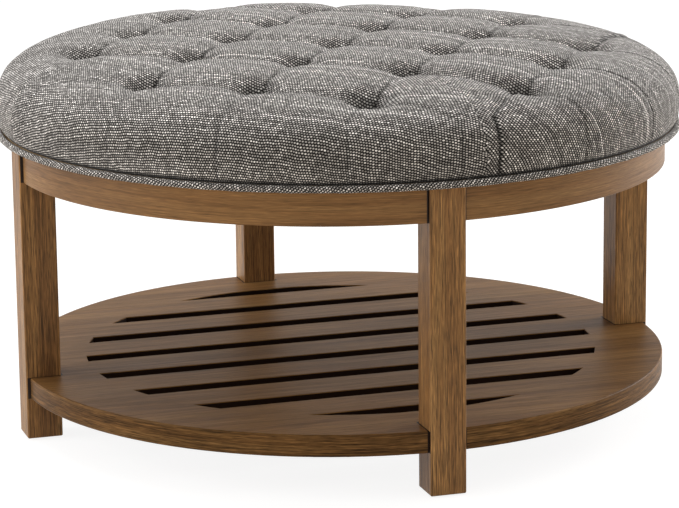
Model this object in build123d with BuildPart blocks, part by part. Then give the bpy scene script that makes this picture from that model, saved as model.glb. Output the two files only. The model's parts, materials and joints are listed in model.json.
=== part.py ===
from build123d import *
import os
from math import asin, atan2, ceil, cos, degrees, hypot, radians, sin, sqrt

# Round tufted ottoman with a slatted storage shelf.
# Origin: on the floor, under the middle of the table. +Z is up.
# X runs along the shelf's slots; the four legs stand on the X and Y axes.

os.makedirs("parts", exist_ok=True)

# Overall sizes
frame_radius = 387.2
frame_height = 348.0
cushion_height = 109.0
cushion_overhang = 16.6

# Legs
leg_width = 41.7
leg_proud = 4.1
leg_edge_radius = 2.0
glide_radius = 11.0
glide_thickness = 2.0
glide_nail_radius = 1.2
glide_nail_length = 14.0

# Apron ring
apron_height = 39.7
apron_thickness = 20.0
apron_end_gap = 0.5
apron_edge_radius = 1.0

# Corner blocks and what fastens them
block_width = 112.0
block_depth = 28.0
block_height = 34.0
block_corner_cut = 12.0
block_hole_clearance = 0.5
hanger_bolt_radius = 4.0
hanger_bolt_in_leg = 30.0
hanger_bolt_beyond_nut = 4.0
washer_radius = 10.0
washer_thickness = 1.6
nut_across_flats = 13.0
nut_thickness = 6.5
block_screw_spread = 80.0
block_screw_radius = 2.0
block_screw_head_radius = 4.0
block_screw_head_height = 2.4
block_screw_in_apron = 14.0
block_screw_bore_depth = 20.0
deck_screw_spread = 50.0
deck_screw_inset = 14.0
deck_screw_in_deck = 11.0
deck_screw_bore_depth = 8.0
dowel_radius = 4.0
dowel_length = 30.0
dowel_spacing = 18.0

# Shelf
shelf_top = 76.0
shelf_thickness = 25.4
shelf_edge_radius = 2.0
shelf_notch_gap = 0.3
slot_count = 8
slot_pitch = 83.7
slot_width = 24.6
slot_edge_chamfer = 0.8
slot_margin = 80.7

# Shelf brackets
bracket_width = 26.0
bracket_length = 28.0
bracket_thickness = 2.0
bracket_screw_radius = 1.75
bracket_screw_length = 14.0
bracket_screw_head_radius = 3.5
bracket_screw_head_height = 1.8
bracket_screw_spread = 14.0
bracket_hole_share = 0.6
head_crown_share = 0.7

# Seat deck and the pieces under it
deck_thickness = 15.0
cover_wrap = 7.0
anchor_radius = 8.0
anchor_thickness = 3.0
dust_cover_thickness = 0.8
dust_cover_margin = 4.0
dust_cover_block_gap = 3.0
staples_per_quarter = 6
staple_crown = 10.0
staple_leg = 9.0
staple_wire = 1.0
staple_margin = 6.0

# Cushion: a flat-crowned dome, whose side leans in a little down to the welt
welt_radius = 4.05
cushion_side_height = 32.0
cushion_side_lean = 2.0
crown_width_power = 3.3
crown_height_power = 2.7
cover_thickness = 22.0
cover_side_thickness = 8.0

# Tufts: a square-set lattice, turned against the slots, as the upholsterer set it out
tuft_row_pitch = 133.0
tuft_line_pitch = 124.0
tuft_turn = -39.3
tuft_offset_x = 66.0
tuft_offset_y = 49.0
tuft_edge_margin = 56.0
tuft_radius = 44.0
tuft_depth = 34.0
tuft_base_radius = 5.0
fold_half_width = 20.0
fold_depth = 12.0
tuft_waist_shares = (0.3, 0.45)
tuft_rim_shares = (1.15, 0.12)
fold_waist_shares = (0.4, 0.42)
fold_rim_shares = (1.5, 0.35)
pleat_width = 2.4
pleat_depth = 3.5
pleat_run = 190.0
tuft_foam_bore = 22.0
twine_radius = 1.0
twine_foam_clearance = 5.0
twine_deck_clearance = 1.0

# What follows from those sizes
cushion_radius = frame_radius + cushion_overhang
leg_inner = frame_radius + leg_proud - leg_width
leg_centre = leg_inner + leg_width / 2
apron_inner = frame_radius - apron_thickness
apron_bottom = frame_height - apron_height
apron_middle = frame_radius - apron_thickness / 2
block_inner = leg_inner - block_depth
block_bottom = frame_height - block_height
block_middle = frame_height - block_height / 2
shelf_bottom = shelf_top - shelf_thickness
slot_circle_radius = frame_radius - slot_margin
deck_radius = cushion_radius - cover_wrap
deck_top = frame_height + deck_thickness
welt_top = frame_height + 2 * welt_radius
overall_height = frame_height + cushion_height
dome_base = welt_top + cushion_side_height
anchor_bottom = frame_height - anchor_thickness
dust_cover_radius = apron_inner - dust_cover_margin
dust_cover_bottom = anchor_bottom - dust_cover_thickness
block_screw_head = block_inner + block_screw_bore_depth
apron_screw_depth = sqrt(apron_inner ** 2 - (block_screw_spread / 2) ** 2) + block_screw_in_apron
block_screw_length = apron_screw_depth - block_screw_head
deck_screw_head = block_bottom + deck_screw_bore_depth
deck_screw_length = frame_height + deck_screw_in_deck - deck_screw_head
bracket_hole_height = shelf_bottom - bracket_length * bracket_hole_share
bracket_hole_radius = leg_inner - bracket_length * bracket_hole_share
glide_align = (Align.CENTER, Align.CENTER, Align.MIN)
quarter_turns = (0, 90, 180, 270)


def dome_drop_share(radius_share):
    """How far the crown has fallen at a share of its radius, as a share of its rise."""
    return 1 - max(0.0, 1 - radius_share ** crown_width_power) ** (1 / crown_height_power)


def dome_height(x, y, inset=0.0, side_inset=0.0):
    """Height of the crown over a point, or of a like crown inset below it."""
    radius_share = min(1.0, hypot(x, y) / (cushion_radius - side_inset))
    rise = overall_height - inset - dome_base
    return dome_base + rise * (1 - dome_drop_share(radius_share))


def dome_profile(inset, side_inset, bottom):
    """Half section of the dome: crown, side that leans in, flat underside."""
    crown_shares = (0, 0.3, 0.5, 0.66, 0.79, 0.89, 0.96, 0.99, 1)
    outer = cushion_radius - side_inset
    crown = [(share * outer, dome_height(share * outer, 0, inset, side_inset)) for share in crown_shares]
    top = crown[0]
    wide = crown[-1]
    base = (outer - cushion_side_lean, bottom)
    with BuildSketch(Plane.XZ) as profile:
        with BuildLine():
            Spline(*crown, tangents=[(1, 0), (0, -1)])
            TangentArc(wide, base, tangent=(0, -1))
            Polyline(base, (0, bottom), top)
        make_face()
    return profile.sketch


def lattice_point(row, line):
    """Place in plan of one tuft of the lattice."""
    turn = radians(tuft_turn)
    x = tuft_offset_x + row * tuft_row_pitch * cos(turn) - line * tuft_line_pitch * sin(turn)
    y = tuft_offset_y + row * tuft_row_pitch * sin(turn) + line * tuft_line_pitch * cos(turn)
    return x, y


def on_crown(point):
    """Point of the crown above a place in plan."""
    return Vector(point[0], point[1], dome_height(*point))


def crown_plane(point):
    """Plane that lies on the crown at a place in plan, with its normal pointing out."""
    step = tuft_base_radius
    along_x = on_crown((point[0] + step, point[1])) - on_crown((point[0] - step, point[1]))
    along_y = on_crown((point[0], point[1] + step)) - on_crown((point[0], point[1] - step))
    return Plane(origin=on_crown(point), x_dir=along_x, z_dir=along_x.cross(along_y))


# The tufts that lie far enough in from the cushion's edge
lattice_reach = ceil(cushion_radius / min(tuft_row_pitch, tuft_line_pitch)) + 1
lattice_steps = range(-lattice_reach, lattice_reach + 1)
tufts = [
    (row, line)
    for row in lattice_steps
    for line in lattice_steps
    if hypot(*lattice_point(row, line)) < cushion_radius - tuft_edge_margin
]
tuft_planes = [crown_plane(lattice_point(*tuft)) for tuft in tufts]
tuft_bottoms = [plane.origin - plane.z_dir * tuft_depth for plane in tuft_planes]
tuft_plan = [(bottom.X, bottom.Y) for bottom in tuft_bottoms]


def leg_planes(x, y, z, z_dir):
    """The same place and direction at each of the four legs, given for the leg on +X."""
    place = Vector(x, y, z)
    direction = Vector(*z_dir)
    return [
        Plane(origin=place.rotate(Axis.Z, angle), z_dir=direction.rotate(Axis.Z, angle))
        for angle in quarter_turns
    ]


def export_around(part, names):
    """Write the piece made for +X, or for the corner after it, once for each quarter turn."""
    for name, angle in zip(names, quarter_turns):
        with BuildPart() as placed:
            add(part, rotation=(0, 0, angle))
        placed.part.label = name
        export_step(placed.part, f"parts/{name}.step")


def wood_screw(shank_radius, length, head_radius, head_height):
    """Pan-head screw along +Z, with the underside of its head at the origin."""
    with BuildPart() as screw:
        with BuildSketch(Plane.XZ):
            with BuildLine():
                Polyline(
                    (0, -head_height),
                    (head_radius * head_crown_share, -head_height),
                    (head_radius, -head_height / 2),
                    (head_radius, 0),
                    (shank_radius, 0),
                    (shank_radius, length - 2 * shank_radius),
                    (0, length),
                    close=True,
                )
            make_face()
        revolve(axis=Axis.Z)
    return screw.part


# Legs: square posts from the glides up to the seat deck, one on each half axis
with BuildPart() as leg:
    with BuildSketch(Plane.XY.offset(glide_thickness)):
        with Locations((leg_centre, 0)):
            Rectangle(leg_width, leg_width)
    extrude(amount=frame_height - glide_thickness)
    foot_edges = leg.faces().sort_by(Axis.Z)[0].edges()
    fillet(leg.edges().filter_by(Axis.Z) + foot_edges, radius=leg_edge_radius)
    with BuildSketch(Plane.YZ.offset(leg_inner)):
        with Locations((0, block_middle)):
            Circle(hanger_bolt_radius)
    extrude(amount=hanger_bolt_in_leg, mode=Mode.SUBTRACT)
    for side in (-1, 1):
        with BuildSketch(Plane.XZ.offset(side * leg_width / 2)):
            with Locations((apron_middle, block_middle)):
                with GridLocations(0, dowel_spacing, 1, 2):
                    Circle(dowel_radius)
        extrude(amount=-side * dowel_length / 2, mode=Mode.SUBTRACT)
    with BuildSketch(Plane.XY.offset(glide_thickness)):
        with Locations((leg_centre, 0)):
            Circle(glide_nail_radius)
    extrude(amount=glide_nail_length, mode=Mode.SUBTRACT)
    with BuildSketch(Plane.YZ.offset(leg_inner)):
        with Locations((0, bracket_hole_height)):
            with GridLocations(bracket_screw_spread, 0, 2, 1):
                Circle(bracket_screw_radius)
    extrude(amount=bracket_screw_length - bracket_thickness, mode=Mode.SUBTRACT)
export_around(leg.part, ("leg_right", "leg_back", "leg_left", "leg_front"))

# Glides: nail-on discs under the legs
with BuildPart() as glides:
    with Locations(*leg_planes(leg_centre, 0, 0, (0, 0, 1))):
        Cylinder(glide_radius, glide_thickness, align=glide_align)
        Cylinder(glide_nail_radius, glide_thickness + glide_nail_length, align=glide_align)
glides.part.label = "leg_glides"
export_step(glides.part, "parts/leg_glides.step")

# Apron: four bent segments, each doweled between two legs with a thin shadow gap
apron_end = leg_width / 2 + apron_end_gap
with BuildPart() as apron:
    with BuildSketch(Plane.XY.offset(apron_bottom)):
        Circle(frame_radius)
        Circle(apron_inner, mode=Mode.SUBTRACT)
        with Locations((apron_end, apron_end)):
            Rectangle(frame_radius, frame_radius, align=Align.MIN, mode=Mode.INTERSECT)
    extrude(amount=apron_height)
    rims = apron.edges().filter_by(GeomType.CIRCLE).filter_by(lambda edge: edge.radius > apron_middle)
    fillet(rims, radius=apron_edge_radius)
    for plane in (Plane.XZ.offset(-apron_end), Plane.YZ.offset(apron_end)):
        with BuildSketch(plane):
            with Locations((apron_middle, block_middle)):
                with GridLocations(0, dowel_spacing, 1, 2):
                    Circle(dowel_radius)
        into_apron = -1 if plane.z_dir.Y < 0 else 1
        extrude(amount=into_apron * (dowel_length / 2 - apron_end_gap), mode=Mode.SUBTRACT)
    for plane in (Plane.XZ.offset(-block_screw_head), Plane.YZ.offset(block_screw_head)):
        with BuildSketch(plane):
            with Locations((block_screw_spread / 2, block_middle)):
                Circle(block_screw_radius)
        into_apron = -1 if plane.z_dir.Y < 0 else 1
        extrude(amount=into_apron * block_screw_length, mode=Mode.SUBTRACT)
export_around(apron.part, ("apron_back_right", "apron_back_left", "apron_front_left", "apron_front_right"))

# Dowels that pin the apron segments to the legs
with BuildPart() as dowels:
    for side in (-1, 1):
        for level in (-1, 1):
            middle = side * leg_width / 2
            height = block_middle + level * dowel_spacing / 2
            with Locations(*leg_planes(apron_middle, middle, height, (0, side, 0))):
                Cylinder(dowel_radius, dowel_length)
dowels.part.label = "apron_dowels"
export_step(dowels.part, "parts/apron_dowels.step")

# Corner blocks: behind each leg, glued and screwed into the hollow of the apron ring
with BuildPart() as block:
    with BuildSketch(Plane.XY.offset(block_bottom)):
        with Locations((block_inner, 0)):
            Rectangle(frame_radius - block_inner, block_width, align=(Align.MIN, Align.CENTER))
        Circle(apron_inner, mode=Mode.INTERSECT)
        with Locations((leg_inner, 0)):
            Rectangle(leg_width, leg_width, align=(Align.MIN, Align.CENTER), mode=Mode.SUBTRACT)
    extrude(amount=block_height)
    chamfer(block.edges().filter_by(Axis.Z).group_by(Axis.X)[0], length=block_corner_cut)
    with BuildSketch(Plane.YZ.offset(block_inner)):
        with Locations((0, block_middle)):
            Circle(hanger_bolt_radius + block_hole_clearance)
    extrude(amount=block_depth, mode=Mode.SUBTRACT)
    with BuildSketch(Plane.YZ.offset(block_inner)):
        with Locations((0, block_middle)):
            with GridLocations(block_screw_spread, 0, 2, 1):
                Circle(block_screw_head_radius + block_hole_clearance)
    extrude(amount=block_screw_bore_depth, mode=Mode.SUBTRACT)
    with BuildSketch(Plane.YZ.offset(block_inner)):
        with Locations((0, block_middle)):
            with GridLocations(block_screw_spread, 0, 2, 1):
                Circle(block_screw_radius)
    extrude(amount=frame_radius - block_inner, mode=Mode.SUBTRACT)
    with BuildSketch(Plane.XY.offset(block_bottom)):
        with Locations((block_inner + deck_screw_inset, 0)):
            with GridLocations(0, deck_screw_spread, 1, 2):
                Circle(block_screw_head_radius + block_hole_clearance)
    extrude(amount=deck_screw_bore_depth, mode=Mode.SUBTRACT)
    with BuildSketch(Plane.XY.offset(block_bottom)):
        with Locations((block_inner + deck_screw_inset, 0)):
            with GridLocations(0, deck_screw_spread, 1, 2):
                Circle(block_screw_radius)
    extrude(amount=block_height, mode=Mode.SUBTRACT)
export_around(
    block.part, ("corner_block_right", "corner_block_back", "corner_block_left", "corner_block_front")
)

# Hanger bolts, washers and nuts: one set through each block into its leg
bolt_end = block_inner - washer_thickness - nut_thickness - hanger_bolt_beyond_nut
with BuildPart() as hanger_bolts:
    with Locations(*leg_planes(bolt_end, 0, block_middle, (1, 0, 0))):
        Cylinder(hanger_bolt_radius, leg_inner + hanger_bolt_in_leg - bolt_end, align=glide_align)
hanger_bolts.part.label = "hanger_bolts"
export_step(hanger_bolts.part, "parts/hanger_bolts.step")

with BuildPart() as washers:
    for plane in leg_planes(block_inner - washer_thickness, 0, block_middle, (1, 0, 0)):
        with BuildSketch(plane):
            Circle(washer_radius)
            Circle(hanger_bolt_radius, mode=Mode.SUBTRACT)
    extrude(amount=washer_thickness)
washers.part.label = "hanger_bolt_washers"
export_step(washers.part, "parts/hanger_bolt_washers.step")

with BuildPart() as nuts:
    for plane in leg_planes(block_inner - washer_thickness - nut_thickness, 0, block_middle, (1, 0, 0)):
        with BuildSketch(plane):
            RegularPolygon(nut_across_flats / 2, 6, major_radius=False)
            Circle(hanger_bolt_radius, mode=Mode.SUBTRACT)
    extrude(amount=nut_thickness)
nuts.part.label = "hanger_bolt_nuts"
export_step(nuts.part, "parts/hanger_bolt_nuts.step")

# Screws through the blocks, sideways into the apron and upwards into the deck
block_screw = wood_screw(
    block_screw_radius, block_screw_length, block_screw_head_radius, block_screw_head_height
)
with BuildPart() as block_screws:
    for side in (-1, 1):
        y = side * block_screw_spread / 2
        with Locations(*leg_planes(block_screw_head, y, block_middle, (1, 0, 0))):
            add(block_screw)
block_screws.part.label = "block_screws"
export_step(block_screws.part, "parts/block_screws.step")

deck_screw = wood_screw(
    block_screw_radius, deck_screw_length, block_screw_head_radius, block_screw_head_height
)
with BuildPart() as deck_screws:
    for side in (-1, 1):
        y = side * deck_screw_spread / 2
        with Locations(*leg_planes(block_inner + deck_screw_inset, y, deck_screw_head, (0, 0, 1))):
            add(deck_screw)
deck_screws.part.label = "deck_screws"
export_step(deck_screws.part, "parts/deck_screws.step")

# Shelf: one round panel, notched round the legs and routed with parallel slots
with BuildPart() as shelf:
    with BuildSketch(Plane.XY.offset(shelf_bottom)):
        Circle(frame_radius)
    extrude(amount=shelf_thickness)
    fillet(shelf.edges().filter_by(GeomType.CIRCLE), radius=shelf_edge_radius)
    with BuildSketch(Plane.XY.offset(shelf_bottom)):
        for plane in leg_planes(leg_centre, 0, 0, (0, 0, 1)):
            with Locations((plane.origin.X, plane.origin.Y)):
                Rectangle(leg_width + 2 * shelf_notch_gap, leg_width + 2 * shelf_notch_gap)
    extrude(amount=shelf_thickness, mode=Mode.SUBTRACT)
    with BuildSketch(Plane.XY.offset(shelf_bottom)):
        with GridLocations(0, slot_pitch, 1, slot_count):
            Rectangle(2 * slot_circle_radius, slot_width)
        Circle(slot_circle_radius, mode=Mode.INTERSECT)
    extrude(amount=shelf_thickness, mode=Mode.SUBTRACT)
    slot_rims = shelf.faces().sort_by(Axis.Z)[-1].inner_wires().edges()
    chamfer(slot_rims, length=slot_edge_chamfer)
    for side in (-1, 1):
        y = side * bracket_screw_spread / 2
        for plane in leg_planes(bracket_hole_radius, y, shelf_bottom, (0, 0, 1)):
            with BuildSketch(plane):
                Circle(bracket_screw_radius)
        extrude(amount=bracket_screw_length - bracket_thickness, mode=Mode.SUBTRACT)
shelf.part.label = "shelf_panel"
export_step(shelf.part, "parts/shelf_panel.step")

# Shelf brackets: small steel angles under the shelf, on the inner face of each leg
with BuildPart() as bracket:
    with BuildSketch(Plane.XZ):
        with BuildLine():
            Polyline(
                (leg_inner, shelf_bottom),
                (leg_inner - bracket_length, shelf_bottom),
                (leg_inner - bracket_length, shelf_bottom - bracket_thickness),
                (leg_inner - bracket_thickness, shelf_bottom - bracket_thickness),
                (leg_inner - bracket_thickness, shelf_bottom - bracket_length),
                (leg_inner, shelf_bottom - bracket_length),
                close=True,
            )
        make_face()
    extrude(amount=bracket_width / 2, both=True)
    with BuildSketch(Plane.YZ.offset(leg_inner)):
        with Locations((0, bracket_hole_height)):
            with GridLocations(bracket_screw_spread, 0, 2, 1):
                Circle(bracket_screw_radius)
    extrude(amount=-bracket_thickness, mode=Mode.SUBTRACT)
    with BuildSketch(Plane.XY.offset(shelf_bottom)):
        with Locations((bracket_hole_radius, 0)):
            with GridLocations(0, bracket_screw_spread, 1, 2):
                Circle(bracket_screw_radius)
    extrude(amount=-bracket_thickness, mode=Mode.SUBTRACT)
export_around(
    bracket.part, ("shelf_bracket_right", "shelf_bracket_back", "shelf_bracket_left", "shelf_bracket_front")
)

bracket_screw = wood_screw(
    bracket_screw_radius, bracket_screw_length, bracket_screw_head_radius, bracket_screw_head_height
)
with BuildPart() as bracket_screws:
    for side in (-1, 1):
        y = side * bracket_screw_spread / 2
        with Locations(*leg_planes(leg_inner - bracket_thickness, y, bracket_hole_height, (1, 0, 0))):
            add(bracket_screw)
        with Locations(*leg_planes(bracket_hole_radius, y, shelf_bottom - bracket_thickness, (0, 0, 1))):
            add(bracket_screw)
bracket_screws.part.label = "bracket_screws"
export_step(bracket_screws.part, "parts/bracket_screws.step")

# Staples that hold the dust cover up to the deck
staple_radius = dust_cover_radius - staple_margin
staple_bottom = dust_cover_bottom - staple_wire
first_staple_turn = degrees(asin((block_width / 2 + dust_cover_block_gap + staple_crown) / staple_radius))
staple_step = (90 - 2 * first_staple_turn) / (staples_per_quarter - 1)
with BuildPart() as staples:
    for quarter_turn in quarter_turns:
        for index in range(staples_per_quarter):
            outwards = Vector(1, 0, 0).rotate(Axis.Z, quarter_turn + first_staple_turn + index * staple_step)
            across = outwards.rotate(Axis.Z, 90)
            foot = outwards * staple_radius + Vector(0, 0, staple_bottom)
            with BuildSketch(Plane(origin=foot, x_dir=across, z_dir=outwards)):
                with Locations((0, staple_leg / 2)):
                    Rectangle(staple_crown, staple_leg)
                    with Locations((0, staple_wire)):
                        Rectangle(staple_crown - 2 * staple_wire, staple_leg, mode=Mode.SUBTRACT)
    extrude(amount=staple_wire / 2, both=True)
staples.part.label = "dust_cover_staples"
export_step(staples.part, "parts/dust_cover_staples.step")

# Dust cover: thin black cloth under the anchors, cut away round the corner blocks
with BuildPart() as dust_cover:
    with BuildSketch(Plane.XY.offset(dust_cover_bottom)):
        Circle(dust_cover_radius)
        for plane in leg_planes(block_inner - dust_cover_block_gap, 0, 0, (0, 0, 1)):
            turn = degrees(atan2(plane.origin.Y, plane.origin.X))
            with Locations(Location((plane.origin.X, plane.origin.Y, 0), (0, 0, turn))):
                Rectangle(
                    frame_radius, block_width + 2 * dust_cover_block_gap, align=(Align.MIN, Align.CENTER),
                    mode=Mode.SUBTRACT,
                )
    extrude(amount=dust_cover_thickness)
    add(staples.part, mode=Mode.SUBTRACT)
dust_cover.part.label = "dust_cover"
export_step(dust_cover.part, "parts/dust_cover.step")

# Seat deck: plywood disc across the apron ring and the leg tops
with BuildPart() as deck:
    with BuildSketch(Plane.XY.offset(frame_height)):
        Circle(deck_radius)
    extrude(amount=deck_thickness)
    with BuildSketch(Plane.XY.offset(frame_height)):
        with Locations(*tuft_plan):
            Circle(twine_radius + twine_deck_clearance)
    extrude(amount=deck_thickness, mode=Mode.SUBTRACT)
    for side in (-1, 1):
        y = side * deck_screw_spread / 2
        for plane in leg_planes(block_inner + deck_screw_inset, y, frame_height, (0, 0, 1)):
            with BuildSketch(plane):
                Circle(block_screw_radius)
        extrude(amount=deck_screw_in_deck, mode=Mode.SUBTRACT)
    add(staples.part, mode=Mode.SUBTRACT)
deck.part.label = "seat_deck"
export_step(deck.part, "parts/seat_deck.step")

# Tuft anchors under the deck and the twines that pull the tufts down to them
with BuildPart() as anchors:
    with BuildSketch(Plane.XY.offset(anchor_bottom)):
        with Locations(*tuft_plan):
            Circle(anchor_radius)
    extrude(amount=anchor_thickness)
anchors.part.label = "tuft_anchors"
export_step(anchors.part, "parts/tuft_anchors.step")

with BuildPart() as twines:
    for bottom in tuft_bottoms:
        with BuildSketch(Plane.XY.offset(frame_height)):
            with Locations((bottom.X, bottom.Y)):
                Circle(twine_radius)
        extrude(amount=bottom.Z - cover_side_thickness - frame_height)
twines.part.label = "tuft_twines"
export_step(twines.part, "parts/tuft_twines.step")

# Foam: the pad on the deck, bored where the tufts draw the cover down
with BuildPart() as foam_blank:
    add(dome_profile(cover_thickness, cover_side_thickness, deck_top))
    revolve(axis=Axis.Z)
    for bottom in tuft_bottoms:
        with BuildSketch(Plane.XY.offset(bottom.Z - cover_side_thickness)):
            with Locations((bottom.X, bottom.Y)):
                Circle(tuft_foam_bore)
    extrude(amount=cushion_height, mode=Mode.SUBTRACT)

with BuildPart() as foam:
    add(foam_blank.part)
    with BuildSketch(Plane.XY.offset(deck_top)):
        with Locations(*tuft_plan):
            Circle(twine_radius + twine_foam_clearance)
    extrude(amount=overall_height - deck_top, mode=Mode.SUBTRACT)
foam.part.label = "foam_pad"
export_step(foam.part, "parts/foam_pad.step")

# What the tufts, the folds between them and the pleats down the side take away
with BuildPart() as tuft_pit:
    with BuildSketch(Plane.XZ):
        with BuildLine():
            rim = (tuft_radius * tuft_rim_shares[0], tuft_depth * tuft_rim_shares[1])
            waist = (tuft_radius * tuft_waist_shares[0], -tuft_depth * tuft_waist_shares[1])
            Polyline((0, rim[1]), (0, -tuft_depth), (tuft_base_radius, -tuft_depth))
            ThreePointArc((tuft_base_radius, -tuft_depth), waist, rim)
            Line(rim, (0, rim[1]))
        make_face()
    revolve(axis=Axis.Z)

with BuildPart() as pleats:
    with BuildSketch(Plane.XY.offset(welt_top)):
        for row, line in tufts:
            for row_step, line_step, turn in ((1, 0, 0), (0, 1, 90), (-1, 0, 180), (0, -1, 270)):
                if (row + row_step, line + line_step) not in tufts:
                    x, y = lattice_point(row, line)
                    with Locations(Location((x, y, 0), (0, 0, tuft_turn + turn))):
                        Rectangle(pleat_run, pleat_width, align=(Align.MIN, Align.CENTER))
    extrude(amount=cushion_height)
    with BuildSketch(Plane.XZ):
        add(dome_profile(pleat_depth, pleat_depth, welt_top))
    revolve(axis=Axis.Z, mode=Mode.SUBTRACT)

# Cover: quilted fabric over the foam, drawn down at the tufts and folded between them
with BuildPart() as cover:
    add(dome_profile(0, 0, welt_top))
    revolve(axis=Axis.Z)
    with Locations(*tuft_planes):
        add(tuft_pit.part, mode=Mode.SUBTRACT)
    for row_step, line_step, pitch in ((1, 0, tuft_row_pitch), (0, 1, tuft_line_pitch)):
        for row, line in tufts:
            if (row + row_step, line + line_step) in tufts:
                start = on_crown(lattice_point(row, line))
                along = on_crown(lattice_point(row + row_step, line + line_step)) - start
                with BuildSketch(Plane(origin=start, x_dir=Vector(0, 0, 1).cross(along), z_dir=along)):
                    with BuildLine():
                        for side in (-1, 1):
                            ThreePointArc(
                                (0, -fold_depth),
                                (side * fold_half_width * fold_waist_shares[0], -fold_depth * fold_waist_shares[1]),
                                (side * fold_half_width * fold_rim_shares[0], fold_depth * fold_rim_shares[1]),
                            )
                        Line(
                            (-fold_half_width * fold_rim_shares[0], fold_depth * fold_rim_shares[1]),
                            (fold_half_width * fold_rim_shares[0], fold_depth * fold_rim_shares[1]),
                        )
                    make_face()
        extrude(amount=pitch, mode=Mode.SUBTRACT)
    add(pleats.part, mode=Mode.SUBTRACT)
    add(foam_blank.part, mode=Mode.SUBTRACT)
    with BuildSketch(Plane.XY.offset(welt_top)):
        Circle(deck_radius)
    extrude(amount=deck_top - welt_top, mode=Mode.SUBTRACT)
cover.part.label = "cushion_cover"
export_step(cover.part, "parts/cushion_cover.step")

# Welt: the piping round the cushion's lower edge, against the edge of the deck
with BuildPart() as welt:
    with BuildSketch(Plane.XZ):
        with Locations((deck_radius + welt_radius, frame_height + welt_radius)):
            Circle(welt_radius)
    revolve(axis=Axis.Z)
welt.part.label = "cushion_welt"
export_step(welt.part, "parts/cushion_welt.step")
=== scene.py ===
import json
import math

import bmesh
import bpy
import numpy as np
from mathutils import Matrix, Vector

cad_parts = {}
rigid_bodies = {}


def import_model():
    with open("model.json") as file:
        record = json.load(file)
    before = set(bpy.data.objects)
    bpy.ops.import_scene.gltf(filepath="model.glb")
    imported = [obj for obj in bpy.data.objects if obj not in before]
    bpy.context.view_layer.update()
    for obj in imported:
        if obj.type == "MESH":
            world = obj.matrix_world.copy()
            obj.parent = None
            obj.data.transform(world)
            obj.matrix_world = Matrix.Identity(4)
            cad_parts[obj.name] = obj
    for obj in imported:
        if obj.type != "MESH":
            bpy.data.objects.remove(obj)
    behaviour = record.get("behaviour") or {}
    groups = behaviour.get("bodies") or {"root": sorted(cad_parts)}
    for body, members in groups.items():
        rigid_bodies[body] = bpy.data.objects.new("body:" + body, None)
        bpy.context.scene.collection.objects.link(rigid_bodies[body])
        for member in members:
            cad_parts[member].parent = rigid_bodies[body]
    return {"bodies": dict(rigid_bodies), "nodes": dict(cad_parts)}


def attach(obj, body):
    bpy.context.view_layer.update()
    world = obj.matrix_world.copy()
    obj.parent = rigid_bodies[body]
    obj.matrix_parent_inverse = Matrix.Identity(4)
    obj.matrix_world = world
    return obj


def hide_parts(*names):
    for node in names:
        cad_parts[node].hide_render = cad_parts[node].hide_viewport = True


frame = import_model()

kept = set(frame["bodies"].values()) | set(frame["nodes"].values())
for leftover in [o for o in bpy.data.objects if o not in kept]:
    bpy.data.objects.remove(leftover)
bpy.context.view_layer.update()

MM = 0.001

# Cushion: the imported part's sizes in millimetres, with a little room left round the deck
CUSHION_RADIUS = 403.8
TOP_HEIGHT = 457.0
DOME_BASE = 388.1
CROWN_WIDTH_POWER = 3.3
CROWN_HEIGHT_POWER = 2.7
DECK_CLEAR_RADIUS = 397.4
DECK_TOP = 363.4

# Tufts: a square-set lattice, turned against the slots
ROW_PITCH = 133.0
LINE_PITCH = 124.0
TUFT_TURN = math.radians(-39.3)
TUFT_OFFSET = (66.0, 49.0)
TUFT_LIMIT = 347.8
ROW_WAY = np.array([math.cos(TUFT_TURN), math.sin(TUFT_TURN)])
LINE_WAY = np.array([-math.sin(TUFT_TURN), math.cos(TUFT_TURN)])


def srgb(red, green, blue):
    """Linear colour from 0-255 display values."""
    def linear(value):
        share = value / 255
        return share / 12.92 if share <= 0.04045 else ((share + 0.055) / 1.055) ** 2.4
    return (linear(red), linear(green), linear(blue), 1.0)


def dome_height(radius):
    """Height of the even crown at a radius."""
    share = np.clip(radius / CUSHION_RADIUS, 0, 1) ** CROWN_WIDTH_POWER
    return DOME_BASE + (TOP_HEIGHT - DOME_BASE) * (1 - share) ** (1 / CROWN_HEIGHT_POWER)


def lattice_point(row, line):
    """Place of a tuft, seen from above."""
    return np.array(TUFT_OFFSET) + row * ROW_PITCH * ROW_WAY + line * LINE_PITCH * LINE_WAY


TUFTS = {
    (row, line): lattice_point(row, line)
    for row in range(-4, 5)
    for line in range(-4, 5)
    if np.hypot(*lattice_point(row, line)) < TUFT_LIMIT
}


# Shader helpers

def node(tree, kind, inputs=None, output=0, **settings):
    """A shader node with its inputs set or linked; gives one of its outputs."""
    made = tree.nodes.new(kind)
    for key, value in settings.items():
        setattr(made, key, value)
    for key, value in (inputs or {}).items():
        if isinstance(value, bpy.types.NodeSocket):
            tree.links.new(value, made.inputs[key])
        else:
            made.inputs[key].default_value = value
    return made.outputs[output]


def maths(tree, operation, first, second=0.0, third=0.0):
    return node(tree, "ShaderNodeMath", {0: first, 1: second, 2: third}, operation=operation)


def noise(tree, vector, scale, detail=2.0, roughness=0.5, distortion=0.0):
    return node(
        tree, "ShaderNodeTexNoise",
        {"Vector": vector, "Scale": scale, "Detail": detail,
         "Roughness": roughness, "Distortion": distortion},
    )


def ramp(tree, value, stops):
    """Colour by value, from stops of (place, colour)."""
    made = tree.nodes.new("ShaderNodeValToRGB")
    elements = made.color_ramp.elements
    while len(elements) < len(stops):
        elements.new(0.5)
    for element, (place, colour) in zip(elements, stops):
        element.position = place
        element.color = colour if len(colour) == 4 else (*colour, 1.0)
    tree.links.new(value, made.inputs[0])
    return made.outputs[0]


def grey(level):
    return (level, level, level, 1.0)


def scaled(tree, vector, factors):
    return node(tree, "ShaderNodeVectorMath", {0: vector, 1: factors}, operation="MULTIPLY")


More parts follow.
